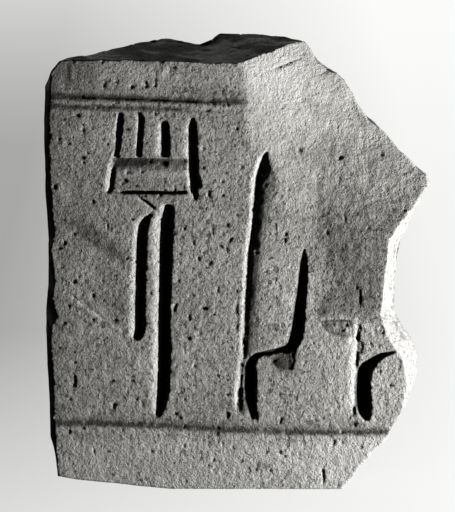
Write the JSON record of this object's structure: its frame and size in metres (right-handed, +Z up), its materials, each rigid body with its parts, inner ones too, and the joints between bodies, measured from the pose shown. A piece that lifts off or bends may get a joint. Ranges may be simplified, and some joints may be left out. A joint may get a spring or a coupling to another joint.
{
  "type": "relief fragment",
  "caption": "Broken stone slab with a row of sunk strokes between two ruled lines, a flaked upper corner and a flat sawn back; stands on its underside.",
  "frame": {"origin": "on the plane that the stone stands on, below the middle of its box", "axes": "+X to the right as one faces the carving, +Y from the carved face to the sawn back, +Z up"},
  "size_m": [0.1962, 0.056, 0.2253],
  "materials": {
    "stone": "matte"
  },
  "bodies": {
    "root": {"relief_fragment": "stone"}
  },
  "joints": []
}
